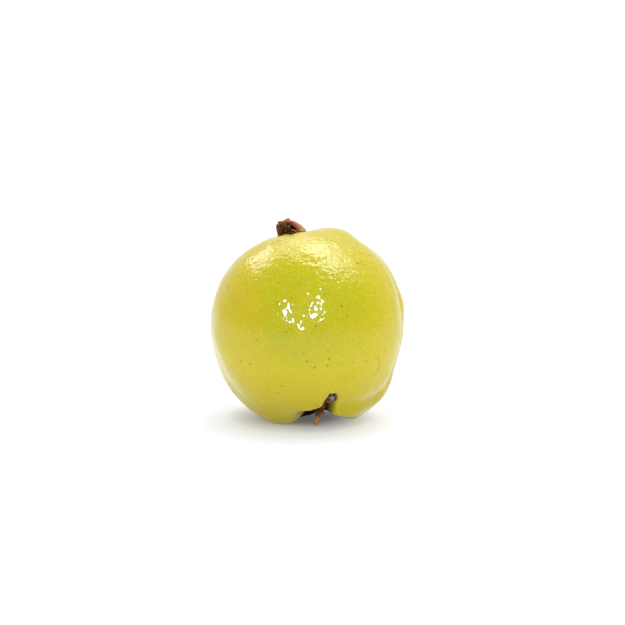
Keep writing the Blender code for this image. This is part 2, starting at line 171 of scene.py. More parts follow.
def take(obj):
    """Makes one object the selected and active one."""
    deselect_all()
    obj.select_set(True)
    bpy.context.view_layer.objects.active = obj
    return obj


def choose(obj, test):
    """In edit mode, selects only the vertices whose number passes the test. Ends in edit mode."""
    bpy.ops.object.mode_set(mode="EDIT")
    bpy.ops.mesh.select_mode(type="VERT")
    bpy.ops.mesh.select_all(action="DESELECT")
    bpy.ops.object.mode_set(mode="OBJECT")
    for vert in obj.data.vertices:
        vert.select = test(vert.index)
    bpy.ops.object.mode_set(mode="EDIT")


def join(pieces, name):
    """Joins pieces into the first of them."""
    deselect_all()
    for piece in pieces:
        piece.select_set(True)
    bpy.context.view_layer.objects.active = pieces[0]
    bpy.ops.object.join()
    joined = bpy.context.active_object
    joined.name = name
    return joined


def finish_with(obj, kind, name, **settings):
    """Adds a modifier with its settings and applies it."""
    modifier = obj.modifiers.new(name, kind)
    for key, value in settings.items():
        setattr(modifier, key, value)
    take(obj)
    bpy.ops.object.modifier_apply(modifier=modifier.name)


def edit_whole():
    """Opens the active mesh in edit mode with all of it selected."""
    bpy.ops.object.mode_set(mode="EDIT")
    bpy.ops.mesh.select_all(action="SELECT")


def displace(obj, name, size, strength, depth=1, mid_level=0.5, vertex_group="", direction="NORMAL", **kind):
    """Raises a cloudy relief on a mesh. Size and strength are in metres, and depth is how many octaves it has."""
    texture = bpy.data.textures.new(name, "CLOUDS")
    texture.noise_scale, texture.noise_depth = size, depth
    for key, value in kind.items():
        setattr(texture, key, value)
    finish_with(obj, "DISPLACE", name, texture=texture, texture_coords="LOCAL", mid_level=mid_level,
                direction=direction, vertex_group=vertex_group, strength=strength)


def paint(obj, **shares):
    """Writes one number for each vertex, under each name, for a material to read."""
    for name, values in shares.items():
        obj.data.attributes.new(name, "FLOAT", "POINT")
        obj.data.attributes[name].data.foreach_set("value", values)


def copy_of_node(name, new_name):
    """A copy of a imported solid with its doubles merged, as a start or a guide."""
    take(frame["nodes"][name])
    bpy.ops.object.duplicate()
    copy = bpy.context.active_object
    copy.name = new_name
    copy.parent = None
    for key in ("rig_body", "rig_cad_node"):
        if key in copy:
            del copy[key]
    edit_whole()
    bpy.ops.mesh.remove_doubles(threshold=0.01 * MM)
    bpy.ops.object.mode_set(mode="OBJECT")
    return copy


def pull(obj, spot, by, reach):
    """Grabs the vertex nearest to a spot and draws it out with what lies within reach along the surface."""
    nearest = min(obj.data.vertices, key=lambda vert: (vert.co - spot).length_squared).index
    take(obj)
    choose(obj, lambda index: index == nearest)
    bpy.ops.transform.translate(value=by, use_proportional_edit=True, use_proportional_connected=True,
                                proportional_edit_falloff="SMOOTH", proportional_size=reach)
    bpy.ops.object.mode_set(mode="OBJECT")


def settle(obj, material, node_name):
    """Bakes a finished piece's place into its mesh, and has it stand for its node on the one body."""
    take(obj)
    bpy.ops.object.transform_apply(location=True, rotation=True, scale=True)
    bpy.ops.object.shade_smooth()
    obj.data.materials.clear()
    obj.data.materials.append(material)
    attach(obj, "root")
    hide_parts(node_name)


def add_node(tree, kind, inputs=None, **settings):
    """Adds a shader node. An input takes a value, or the output socket that feeds it."""
    made = tree.nodes.new(kind)
    for key, value in settings.items():
        setattr(made, key, value)
    for key, value in (inputs or {}).items():
        if isinstance(value, bpy.types.NodeSocket):
            tree.links.new(value, made.inputs[key])
        else:
            made.inputs[key].default_value = value
    return made


def noise(tree, place, size, detail, roughness=0.5, distortion=0.0):
    """Noise from 0 to 1 with features of one size in metres."""
    inputs = {"Vector": place, "Scale": 1 / size, "Detail": detail, "Roughness": roughness, "Distortion": distortion}
    return add_node(tree, "ShaderNodeTexNoise", inputs).outputs["Fac"]


def cells(tree, place, size):
    """Scattered cells of one size in metres. The outputs are the distance from a cell's middle and its own colour."""
    return add_node(tree, "ShaderNodeTexVoronoi", {"Vector": place, "Scale": 1 / size, "Randomness": 1.0}).outputs


def remap(tree, value, low, high, to_low=0.0, to_high=1.0):
    """Turns one range of a value into another, and holds it inside."""
    inputs = {"Value": value, "From Min": low, "From Max": high, "To Min": to_low, "To Max": to_high}
    return add_node(tree, "ShaderNodeMapRange", inputs).outputs[0]


def calc(tree, operation, *values, use_clamp=False):
    """One step of arithmetic on numbers or sockets."""
    inputs = dict(enumerate(values))
    return add_node(tree, "ShaderNodeMath", inputs, operation=operation, use_clamp=use_clamp).outputs[0]


def mixed(tree, share, under, over):
    """One colour laid over another, by a share from 0 to 1."""
    return add_node(tree, "ShaderNodeMix", {0: share, 6: under, 7: over}, data_type="RGBA").outputs[2]


def ramp(tree, value, stops):
    """Colours along a value, each with its place from 0 to 1."""
    made = add_node(tree, "ShaderNodeValToRGB", {"Fac": value})
    elements = made.color_ramp.elements
    while len(elements) < len(stops):
        elements.new(1.0)
    for element, (place, colour) in zip(elements, stops):
        element.position, element.color = place, colour
    return made.outputs["Color"]


def attribute(tree, name):
    """What paint wrote on the mesh."""
    return add_node(tree, "ShaderNodeAttribute", attribute_name=name).outputs["Fac"]


def bump(tree, height, depth, **under):
    """A normal with relief of a depth in metres, on top of the one given as Normal, if any."""
    inputs = {"Height": height, "Strength": 1.0, "Distance": depth, **under}
    return add_node(tree, "ShaderNodeBump", inputs).outputs["Normal"]


def seen_from(tree, place, spot, facing):
    """A place as seen from a spot with its own facing: the vector, its axes, and how far it is from the z axis."""
    local = add_node(tree, "ShaderNodeMapping", {"Vector": place, "Location": spot, "Rotation": facing},
                     vector_type="TEXTURE").outputs[0]
    axes = add_node(tree, "ShaderNodeSeparateXYZ", {"Vector": local}).outputs
    flat = add_node(tree, "ShaderNodeCombineXYZ", {"X": axes["X"], "Y": axes["Y"]}).outputs[0]
    out = add_node(tree, "ShaderNodeVectorMath", {0: flat}, operation="LENGTH").outputs["Value"]
    return local, axes, out


def new_material(name):
    material = bpy.data.materials.new(name)
    material.use_nodes = True
    return material, material.node_tree, material.node_tree.nodes["Principled BSDF"]


# Sizes and colours that a user would change


class GuavaSkin(bpy.types.PropertyGroup):
    deep: FloatVectorProperty(name="Deep", description="Greener ground of the skin", subtype="COLOR", size=4,
                              min=0, max=1, default=linear("#C8C614"))
    ripe: FloatVectorProperty(name="Ripe", description="Yellower ground of the skin", subtype="COLOR", size=4,
                              min=0, max=1, default=linear("#D8C81A"))
    blush: FloatVectorProperty(name="Blush", description="Orange-yellow blotches", subtype="COLOR", size=4,
                               min=0, max=1, default=linear("#E0B020"))
    freckle: FloatVectorProperty(name="Freckle", description="Brown-orange freckles", subtype="COLOR", size=4,
                                 min=0, max=1, default=linear("#C4761A"))
    pitting: FloatProperty(name="Pitting", description="Depth of the fine pits of the skin", unit="LENGTH",
                           default=0.12 * MM)
    pucker: FloatProperty(name="Pucker", description="Depth of the puckers on the upper side", unit="LENGTH",
                          default=0.28 * MM)
    gloss: FloatProperty(name="Wax roughness", description="Roughness of the waxy bloom", min=0, max=1, default=0.34)


class GuavaCalyx(bpy.types.PropertyGroup):
    dark: FloatVectorProperty(name="Dark", description="Dark red-brown of the dried sepals", subtype="COLOR", size=4,
                              min=0, max=1, default=linear("#3A1E06"))
    pale: FloatVectorProperty(name="Pale", description="Salmon tan of the palest sepals", subtype="COLOR", size=4,
                              min=0, max=1, default=linear("#D2966C"))
    edge: FloatVectorProperty(name="Edge", description="Orange of the sepals' torn edges", subtype="COLOR", size=4,
                              min=0, max=1, default=linear("#C47A30"))
    base: FloatVectorProperty(name="Base", description="Yellow-green where the calyx leaves the fruit",
                              subtype="COLOR", size=4, min=0, max=1, default=linear("#B4A82C"))
    thickness: FloatProperty(name="Thickness", description="Of a dried sepal", unit="LENGTH", default=0.5 * MM)
    crumple: FloatProperty(name="Crumple", description="How far the sepals are crumpled", unit="LENGTH",
                           default=0.8 * MM)


class GuavaFlower(bpy.types.PropertyGroup):
    filament: FloatVectorProperty(name="Filament", description="Bleached lavender grey of the dried stamens",
                                  subtype="COLOR", size=4, min=0, max=1, default=linear("#C9BFC6"))
    disc: FloatVectorProperty(name="Disc", description="Dark brown of the withered disc", subtype="COLOR", size=4,
                              min=0, max=1, default=linear("#4B3226"))
    count: IntProperty(name="Stamens", description="How many dried stamens stand on the disc", min=1, default=46)
    radius: FloatProperty(name="Stamen radius", description="Radius of one dried stamen", unit="LENGTH",
                          default=0.13 * MM)


class GuavaStem(bpy.types.PropertyGroup):
    # The bark colour is the bark's own dark brown, darkened further as painted shade for the twig that lies in the
    # cleft's shade
    bark: FloatVectorProperty(name="Bark", description="Dark reddish brown of the twig's bark", subtype="COLOR",
                              size=4, min=0, max=1, default=linear("#42230F"))
    warm: FloatVectorProperty(name="Warm bark", description="Orange-brown of rubbed bark", subtype="COLOR", size=4,
                              min=0, max=1, default=linear("#BE7C3E"))
    cut: FloatVectorProperty(name="Cut wood", description="Purplish grey of the old cut face", subtype="COLOR",
                             size=4, min=0, max=1, default=linear("#74646B"))
    grain: FloatProperty(name="Bark relief", description="Depth of the bark's wrinkles", unit="LENGTH",
                         default=0.22 * MM)


class GuavaStudio(bpy.types.PropertyGroup):
    distance: FloatProperty(name="Distance", description="From the camera to the fruit's middle", unit="LENGTH",
                            default=0.70)
    elevation: FloatProperty(name="Elevation", description="How far the camera looks down", unit="ROTATION",
                             default=math.radians(10.0))
    lens: FloatProperty(name="Lens", description="Focal length in mm", default=108.64)
    # The floor colour is a bluish grey that the floor's painted glow shows white; its blue tint offsets the yellow
    # light bounced from the fruit into the shadow
    floor: FloatVectorProperty(name="Floor", description="Pale seamless floor", subtype="COLOR", size=4,
                               min=0, max=1, default=linear("#C0C3CC"))


# Waxy guava skin


def waxy_skin(look):
    """Guava skin: thin, waxed and finely pitted over pale flesh, so it has a soft glow, a sharp wax shine on top of
    a broad one, and cloudy green and yellow grounds with pores and freckles."""
    material, tree, shader = new_material("guava_skin")
    place = add_node(tree, "ShaderNodeTexCoord").outputs["Object"]

    # Clouds of green and yellow about 15 mm across, with mottles of 2 mm in them
    clouds = noise(tree, place, 0.015, 2.5, 0.55, 0.4)
    mottles = noise(tree, place, 0.0020, 4.0, 0.7, 0.8)
    both = add_node(tree, "ShaderNodeMix", {0: 0.38, 2: clouds, 3: mottles}, data_type="FLOAT").outputs[0]
    both = calc(tree, "MULTIPLY_ADD", attribute(tree, "ripeness"), 0.40, both)
    colour = ramp(tree, both, [(0.40, look.deep), (0.70, look.ripe), (1.0, linear("#DEC828"))])

    # Orange-yellow blotches, 4 mm across
    blotch = remap(tree, noise(tree, place, 0.0042, 3.0, 0.65, 0.3), 0.58, 0.74, 0.0, 0.6)
    colour = mixed(tree, blotch, colour, look.blush)

    # Pale oil glands 0.6 mm apart under the skin
    gland = remap(tree, noise(tree, place, 0.0006, 2.0, 0.6), 0.50, 0.72, 0.0, 0.24)
    colour = mixed(tree, gland, colour, linear("#EDE6A0"))

    # Pores 1.1 mm apart, a little darker than the ground
    pore = remap(tree, cells(tree, place, 0.0011)["Distance"], 0.10, 0.30, 0.30, 0.0)
    colour = mixed(tree, pore, colour, linear("#8F9420"))

    # Freckles up to 1.2 mm across with soft edges, in about half of the cells of a 3.4 mm grid
    freckles = cells(tree, place, 0.0034)
    spot = remap(tree, freckles["Distance"], 0.07, 0.17, 0.9, 0.0)
    shown = calc(tree, "MULTIPLY", spot, remap(tree, freckles["Color"], 0.46, 0.60))
    colour = mixed(tree, shown, colour, look.freckle)

    # Painted shade: low on the fruit the ground is darkened to a deeper olive-yellow, toward the floor
    height = add_node(tree, "ShaderNodeSeparateXYZ", {"Vector": place}).outputs["Z"]
    colour = mixed(tree, remap(tree, height, 8 * MM, 26 * MM, 0.65, 0.0), colour, linear("#B6A604"))

    # Painted shade: the skin in the stem cavity and cleft is darkened to a dull olive, and painted nearly black where
    # no light gets in
    colour = mixed(tree, attribute(tree, "stem_hollow"), colour, linear("#5E5C14"))
    # Painted shade, nearly black, under the arch and on the cleft's wall
    sooty = attribute(tree, "sooty")
    colour = mixed(tree, sooty, colour, linear("#262204"))

    # A healed scar, a thin green arc of 4 mm radius low on the right
    _, axes, out = seen_from(tree, place, *SCAR)
    arc = calc(tree, "COMPARE", out, 4.1 * MM, 0.3 * MM)
    arc = calc(tree, "MULTIPLY", arc, remap(tree, axes["X"], 1.2 * MM, 2.6 * MM))
    arc = calc(tree, "MULTIPLY", arc, calc(tree, "COMPARE", axes["Z"], 0.0, 6.0 * MM))
    colour = mixed(tree, calc(tree, "MULTIPLY", arc, 0.7), colour, linear("#A4AE10"))
    tree.links.new(colour, shader.inputs["Base Color"])

    # Dents of 4 mm, and on them pits of 1.7 mm that are deeper where the skin is puckered
    coarse = bump(tree, noise(tree, place, 0.0042, 2.0), 0.9 * look.pitting)
    pits = noise(tree, place, 0.0017, 0.0, distortion=0.9)
    deeper = remap(tree, attribute(tree, "folded"), 0.0, 1.0, 1.1 * look.pitting, 1.6 * look.pitting)
    fine = bump(tree, pits, deeper, Normal=coarse)
    tree.links.new(fine, shader.inputs["Normal"])
    tree.links.new(fine, shader.inputs["Coat Normal"])

    # No wax shine where shade is painted, so no reflection shows in it
    tree.links.new(remap(tree, sooty, 0.0, 1.0, 1.0, 0.0), shader.inputs["Coat Weight"])

    shader.inputs["Roughness"].default_value = look.gloss
    shader.inputs["IOR"].default_value = 1.40
    shader.inputs["Specular IOR Level"].default_value = 0.02
    shader.inputs["Coat Roughness"].default_value = 0.02
    shader.inputs["Coat IOR"].default_value = 1.35
    shader.inputs["Subsurface Weight"].default_value = 0.12
    shader.inputs["Subsurface Radius"].default_value = (1.0, 0.8, 0.25)
    shader.inputs["Subsurface Scale"].default_value = 2.0 * MM
    return material


class GUAVA_OT_skin(bpy.types.Operator):
    """Models the fruit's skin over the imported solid, with its puckers and dents"""

    bl_idname = "guava.skin"
    bl_label = "Fruit skin"

    def execute(self, context):
        look = context.scene.guava_skin

        # A guide: the solid with its facets rounded
        inverse = FRUIT_FRAME.inverted()
        guide = copy_of_node("fruit", "fruit_guide")
        edit_whole()
        bpy.ops.mesh.tris_convert_to_quads()
        bpy.ops.object.mode_set(mode="OBJECT")
        finish_with(guide, "SUBSURF", "rounding", levels=2, render_levels=2)

        # The skin: a finely divided ball drawn in onto the guide
        deselect_all()
        bpy.ops.mesh.primitive_cube_add(size=90 * MM, location=MIDDLE)
        skin = context.active_object
        skin.name = "guava_skin"
        edit_whole()
        for _ in range(7):
            bpy.ops.mesh.subdivide(number_cuts=1)
        bpy.ops.object.mode_set(mode="OBJECT")
        finish_with(skin, "CAST", "ball", cast_type="SPHERE", factor=1.0)
        finish_with(skin, "SHRINKWRAP", "drawn in", target=guide, wrap_method="PROJECT",
                    use_negative_direction=True, use_positive_direction=True)
        finish_with(skin, "SMOOTH", "even", factor=0.5, iterations=6)
        bpy.data.objects.remove(guide)
        take(skin)
        bpy.ops.object.transform_apply(location=True, rotation=True, scale=True)

        # The lip of the left lobe is drawn out over the stalk
        for spot, by in LIP:
            pull(skin, Vector(spot) * MM, Vector(by) * MM, LIP_REACH)

        # Where the skin puckers most, how ripe it is, where it turns into the stem hollow, and where shade is painted
        # under the arch and on the cleft's wall
        upper = skin.vertex_groups.new(name="puckered")
        sunny = direction(-70, 135)
        green, sunned = Vector((0.07, -0.94, 0.33)), Vector((-0.86, -0.45, 0.22))
        hollow_shades, ripe, soot, folded = [], [], [], []
        for vert in skin.data.vertices:
            p = inverse @ vert.co
            length = p.length
            polar = math.degrees(math.acos(max(-1.0, min(1.0, -p.z / length))))
            near = math.degrees((vert.co - MIDDLE).angle(sunny))
            folded.append(1 - smooth(18, 50, near))
            upper.add([vert.index], 0.08 + 0.92 * folded[-1], "REPLACE")
            # Painted shade where the skin lies deep in the stem cavity
            deep = 1 - smooth(30.0 * MM, 35.0 * MM, length)
            hollow_shades.append(deep * (1 - smooth(30, 60, polar)))
            towards = vert.co - MIDDLE
            from_green, from_sun = math.degrees(towards.angle(green)), math.degrees(towards.angle(sunned))
            ripe.append(0.6 * smooth(18, 52, from_green) + 0.3 * (1 - smooth(8, 42, from_sun)))
            x, y, z = vert.co / MM
            # Painted shade under the back of the arch and on the cleft's wall, where no light gets in
            under = smooth(-9, -3, y) * (1 - smooth(7, 12, z)) * smooth(-10, -6, x) * (1 - smooth(10, 14, x))
            wall = smooth(-0.3, 0.6, -vert.normal.x) * smooth(2, 4, x) * (1 - smooth(6.5, 12, x))
            soot.append(max(under, wall * (1 - smooth(10, 13, z)) * smooth(-29, -26, y)))
        paint(skin, stem_hollow=hollow_shades, ripeness=ripe, sooty=soot, folded=folded)
        displace(skin, "dents", 0.0085, 0.35 * MM, noise_basis="IMPROVED_PERLIN")
        displace(skin, "pebbles", 0.0021, 0.16 * MM, noise_basis="IMPROVED_PERLIN")
        displace(skin, "puckers", 0.0027, look.pucker, depth=2, vertex_group="puckered", noise_type="HARD_NOISE")

        # It stands flat, and keeps within the solid's box
        choose(skin, lambda index: skin.data.vertices[index].co.z < 0)
        bpy.ops.transform.resize(value=(1, 1, 0), center_override=(0, 0, 0))
        rear = CAD_BOX[1][1] - BOX_MARGIN
        choose(skin, lambda index: skin.data.vertices[index].co.y > rear)
        bpy.ops.transform.resize(value=(1, 0, 1), center_override=(0, rear, 0))
        bpy.ops.object.mode_set(mode="OBJECT")
        settle(skin, waxy_skin(look), "fruit")
        return {"FINISHED"}


# Dried calyx


def dried_sepal(look):
    """Guava calyx, dried on the fruit: leathery and matt, with dark fibres along each sepal, orange torn edges and
    a base that is still green."""
    material, tree, shader = new_material("dried_sepal")
    place = add_node(tree, "ShaderNodeTexCoord").outputs["Object"]
    blade = add_node(tree, "ShaderNodeUVMap", uv_map="UVMap").outputs["UV"]
    across, along = add_node(tree, "ShaderNodeSeparateXYZ", {"Vector": blade}).outputs[:2]
    pale = attribute(tree, "pale")

    # Fibres about 0.5 mm apart that run the length of a sepal, and blotches of 1.5 mm
    drawn = add_node(tree, "ShaderNodeMapping", {"Vector": blade, "Scale": (16.0, 1.6, 1.0)}).outputs[0]
    fibres = noise(tree, drawn, 1.0, 3.0, 0.6, 0.6)
    streak = remap(tree, fibres, 0.35, 0.68, -0.34, 0.30)
    spread = remap(tree, noise(tree, place, 0.0015, 3.0, 0.6), 0.35, 0.65, -0.22, 0.22)
    amount = calc(tree, "ADD", calc(tree, "ADD", streak, spread), pale, use_clamp=True)
    colour = ramp(tree, amount, [(0.0, look.dark), (0.40, linear("#80521A")), (1.0, look.pale)])

    # The hidden side of a sepal is painted maroon as shade. Where the sun got in, it has bleached to a silvery
    # lavender
    colour = mixed(tree, calc(tree, "MULTIPLY", attribute(tree, "inside"), 0.75), colour, linear("#4E1A22"))
    colour = mixed(tree, attribute(tree, "silvery"), colour, linear("#D2C8D2"))

    # The foot of a sepal, and the cup below it, are still green, most of all on the pale ones
    # How far a sepal takes the painted maroon shade along its edge: only the palest does
    maroon = remap(tree, pale, 0.85, 0.92)
    green = calc(tree, "MULTIPLY_ADD", maroon, -0.07, along)
    green = calc(tree, "MULTIPLY_ADD", spread, 0.35, green)
    green = remap(tree, green, 0.04, 0.16, 1.0, 0.0)
    green = calc(tree, "MULTIPLY", green, remap(tree, pale, 0.0, 0.2))
    colour = mixed(tree, green, colour, look.base)

    # One edge of a dark sepal is torn and orange. On a pale one the third along that edge is painted maroon, as shade
    # under its front edge
    start = remap(tree, maroon, 0.0, 1.0, 0.24, 0.10)
    reach = remap(tree, maroon, 0.0, 1.0, 0.46, 0.34)
    torn = remap(tree, across, start, reach, 0.9, 0.0)
    torn = calc(tree, "MAXIMUM", torn, remap(tree, along, 0.84, 0.97, 0.0, 0.8))
    torn = calc(tree, "MULTIPLY", torn, remap(tree, pale, 0.0, 0.05))
    colour = mixed(tree, torn, colour, mixed(tree, maroon, look.edge, linear("#7C2A34")))
    tree.links.new(colour, shader.inputs["Base Color"])
    tree.links.new(bump(tree, fibres, 0.15 * MM), shader.inputs["Normal"])
    shader.inputs["Roughness"].default_value = 0.65
    shader.inputs["Specular IOR Level"].default_value = 0.05
    return material


def sepal(name, values, look):
    """One sepal, cut from a grid as a tapered blade, cupped, curled in row by row, crumpled and thickened."""
    azimuth, length, width, lean, curl, evenness, tip, sideways, pale, silvery = values
    rows, columns = 14, 8
    deselect_all()
    bpy.ops.mesh.primitive_grid_add(x_subdivisions=columns, y_subdivisions=rows, size=1.0, location=(0, 0, 0),
                                    rotation=(math.pi / 2, 0, 0))
    blade = bpy.context.active_object
    blade.name = name
    bpy.ops.object.transform_apply(location=True, rotation=True, scale=True)
    row_of = [round((vert.co.z + 0.5) * rows) for vert in blade.data.vertices]
    for row in range(rows + 1):
        along = row / rows
        rounded = math.sqrt(1 - 0.85 * max(0.0, (along - 0.7) / 0.3) ** 2)
        choose(blade, lambda index: row_of[index] == row)
        bpy.ops.transform.resize(value=(width * MM * (1 - (1 - tip) * along**1.6) * rounded, 1, 1),
                                 center_override=(0, 0, 0))
    bpy.ops.mesh.select_all(action="SELECT")
    bpy.ops.transform.translate(value=(0, 0, 0.5))
    bpy.ops.transform.resize(value=(1, 1, length * MM), center_override=(0, 0, 0))
    bpy.ops.object.mode_set(mode="OBJECT")
    finish_with(blade, "SIMPLE_DEFORM", "cupping", deform_method="BEND", deform_axis="Z",
                angle=width * MM / SEPAL_RING)
    for row in range(1, rows + 1):
        turn = curl * ((row / rows) ** evenness - ((row - 1) / rows) ** evenness)
        below = [vert.co for vert in blade.data.vertices if row_of[vert.index] == row - 1]
        centre = sum(below, Vector()) / len(below)
        choose(blade, lambda index: row_of[index] >= row)
        bpy.ops.transform.rotate(value=math.radians(turn), orient_axis="X", center_override=(0, centre.y, centre.z))
        bpy.ops.transform.rotate(value=-math.radians(sideways * (2 * row - 1) / rows**2), orient_axis="Z",
                                 center_override=(0, SEPAL_RING, 0))
        bpy.ops.object.mode_set(mode="OBJECT")
    take(blade)
    blade.rotation_euler = (math.radians(lean), 0, 0)
    blade.location = (0, -SEPAL_RING, 0.2 * MM)
    bpy.ops.object.transform_apply(location=True, rotation=True, scale=True)
    blade.rotation_euler = (0, 0, math.radians(azimuth + 90))
    bpy.ops.object.transform_apply(location=True, rotation=True, scale=True)

    finish_with(blade, "SUBSURF", "rounding", levels=1, render_levels=1)
    displace(blade, name + "_folds", 0.0020, look.crumple)
    displace(blade, name + "_frays", 0.0007, 0.5 * look.crumple, direction="Z")
    inner = blade.vertex_groups.new(name="inner")
    finish_with(blade, "SOLIDIFY", "thickness", thickness=look.thickness, offset=0.0, shell_vertex_group="inner")
    finish_with(blade, "SUBSURF", "soft edges", levels=1, render_levels=1)
    inside = [sum(g.weight for g in vert.groups if g.group == inner.index) for vert in blade.data.vertices]
    paint(blade, pale=[pale] * len(inside), inside=inside, silvery=[silvery * share for share in inside])
    return blade


class GUAVA_OT_calyx(bpy.types.Operator):
    """Models the dried calyx: a low cup, with five sepals and a narrow tooth that stand and arch over it"""

    bl_idname = "guava.calyx"
    bl_label = "Calyx"

    def execute(self, context):
        look = context.scene.guava_calyx
        deselect_all()
        foot, level = 4.6, -1.4
        bpy.ops.mesh.primitive_circle_add(vertices=56, radius=foot * MM, fill_type="NGON",
                                          location=(0, 0, level * MM))
        cup = context.active_object
        bpy.ops.object.transform_apply(location=True)
        edit_whole()
        for radius, height in CUP_RINGS:
            bpy.ops.mesh.extrude_region_move(TRANSFORM_OT_translate={"value": (0, 0, (height - level) * MM)})
            bpy.ops.transform.resize(value=(radius / foot, radius / foot, 1), center_override=(0, 0, 0))
            foot, level = radius, height
        bpy.ops.mesh.inset(thickness=1.2 * MM)
        bpy.ops.mesh.select_all(action="SELECT")
        bpy.ops.mesh.normals_make_consistent(inside=False)
        bpy.ops.object.mode_set(mode="OBJECT")
        finish_with(cup, "SUBSURF", "rounding", levels=1, render_levels=1)
        displace(cup, "cup_folds", 0.0016, 0.5 * look.crumple)
        calyx = join([cup] + [sepal(name, values, look) for name, values in SEPALS.items()], "guava_calyx")
        calyx.matrix_world = CALYX_FRAME
        settle(calyx, dried_sepal(look), "calyx")
        return {"FINISHED"}


# Withered flower


def withered_flower(look):
    """The flower's dried disc and stamens: matt and papery, dark brown at the foot and bleached at the tips."""
    material, tree, shader = new_material("withered_flower")
    place = add_node(tree, "ShaderNodeTexCoord").outputs["Object"]
    mottle = noise(tree, place, 0.0009, 3.0, 0.6)
    uneven = remap(tree, mottle, 0.3, 0.7, -0.25, 0.25)
    amount = calc(tree, "ADD", uneven, attribute(tree, "bleached"), use_clamp=True)
    tree.links.new(mixed(tree, amount, look.disc, look.filament), shader.inputs["Base Color"])
    tree.links.new(bump(tree, mottle, 0.1 * MM), shader.inputs["Normal"])
    shader.inputs["Roughness"].default_value = 0.85
    shader.inputs["Specular IOR Level"].default_value = 0.2
    return material


class GUAVA_OT_flower(bpy.types.Operator):
    """Models the withered flower in the cup: a crinkled disc with a tuft of dried stamens"""

    bl_idname = "guava.flower"
    bl_label = "Withered flower"

    def execute(self, context):
        look = context.scene.guava_flower
        chance = random.Random(5)
        deselect_all()
        bpy.ops.mesh.primitive_cylinder_add(vertices=40, radius=3.5 * MM, depth=0.9 * MM, location=(0, 0, 0.3 * MM))
        disc = context.active_object
        bpy.ops.object.transform_apply(location=True)
        edit_whole()
        bpy.ops.mesh.inset(thickness=0.5 * MM, use_individual=True)
        bpy.ops.object.mode_set(mode="OBJECT")
        finish_with(disc, "REMESH", "even", mode="VOXEL", voxel_size=0.22 * MM)
        displace(disc, "disc_crinkle", 0.0009, 0.6 * MM, depth=2, mid_level=0.6)
        paint(disc, bleached=[0.1] * len(disc.data.vertices))

        # One dried stamen, then its copies, each bent and leaned its own way
        deselect_all()
        bpy.ops.mesh.primitive_cylinder_add(vertices=5, radius=look.radius, depth=1.0, location=(0, 0, 0.5))
        stamen = context.active_object
        bpy.ops.object.transform_apply(location=True)
        for height in (0.2, 0.4, 0.6, 0.8, 0.93):
            edit_whole()
            bpy.ops.mesh.bisect(plane_co=(0, 0, height), plane_no=(0, 0, 1))
            bpy.ops.object.mode_set(mode="OBJECT")
        paint(stamen, bleached=[0.2 + 0.9 * vert.co.z for vert in stamen.data.vertices])
        tuft = []
        for _ in range(look.count):
            take(stamen)
            bpy.ops.object.duplicate()
            copy = context.active_object
            turn, ring = chance.uniform(0, 2 * math.pi), 3.0 * MM * math.sqrt(chance.uniform(0.02, 1))
            tall = chance.uniform(1.4, 2.6) * MM
            choose(copy, lambda index: True)
            bpy.ops.transform.resize(value=(1, 1, tall), center_override=(0, 0, 0))
            bpy.ops.object.mode_set(mode="OBJECT")
            finish_with(copy, "SIMPLE_DEFORM", "bend", deform_method="BEND", deform_axis="X",
                        angle=chance.uniform(-1.3, 1.3))
            copy.rotation_euler = (chance.uniform(-0.5, 0.5), chance.uniform(-0.5, 0.5), chance.uniform(0, 6.28))
            copy.location = (ring * math.cos(turn), ring * math.sin(turn), 0.5 * MM)
            tuft.append(copy)
        bpy.data.objects.remove(stamen)
        flower = join([disc] + tuft, "guava_flower")
        flower.matrix_world = CALYX_FRAME
        settle(flower, withered_flower(look), "flower_remnant")
        return {"FINISHED"}


# Stalk


def twig_bark(look):
    """Young guava wood: smooth thin bark in reddish brown, wrinkled along the twig, rubbed to orange in places, with
    a grey cut face that shows its pale pith."""
    material, tree, shader = new_material("twig_bark")
    place = add_node(tree, "ShaderNodeTexCoord").outputs["Object"]

    # Bark wrinkles of 0.5 mm and blotches of 2 mm
    wrinkles = noise(tree, place, 0.0005, 3.0, 0.6, 0.5)
    uneven = remap(tree, noise(tree, place, 0.0020, 3.0, 0.6), 0.3, 0.7, -0.3, 0.3)
    amount = calc(tree, "ADD", uneven, attribute(tree, "rubbed"), use_clamp=True)
    # Painted shade: the bark ground is darker than the bark itself, for the twig in the cleft's shade; rubbed places
    # are warmer
    colour = mixed(tree, amount, look.bark, look.warm)
    colour = mixed(tree, remap(tree, wrinkles, 0.30, 0.46, 0.55, 0.0), colour, linear("#2A140E"))

    # The cut face: a brown rim, grey wood, and a pale pith with short rays
    end, before = Vector(STALK[-1][:3]) * MM, Vector(STALK[-2][:3]) * MM
    facing = (end - before).to_track_quat("Z", "Y").to_euler()
    centred, axes, out = seen_from(tree, place, end, facing)
    ragged = calc(tree, "MULTIPLY_ADD", noise(tree, centred, 0.0005, 2.0), 0.5 * MM, out)
    turn = calc(tree, "ARCTAN2", axes["Y"], axes["X"])
    rays = calc(tree, "SINE", calc(tree, "MULTIPLY", turn, 5.0))
    star = calc(tree, "MULTIPLY_ADD", rays, -0.35 * MM, ragged)
    face = ramp(tree, remap(tree, star, 0.0, 2.0 * MM),
                [(0.18, linear("#D2C8CE")), (0.32, look.cut), (0.62, look.cut), (0.82, linear("#3A221A"))])
    colour = mixed(tree, remap(tree, axes["Z"], -0.40 * MM, -0.22 * MM), colour, face)
    tree.links.new(colour, shader.inputs["Base Color"])
    tree.links.new(bump(tree, wrinkles, 0.12 * MM), shader.inputs["Normal"])
    shader.inputs["Roughness"].default_value = 0.62
    shader.inputs["Specular IOR Level"].default_value = 0.3
    return material


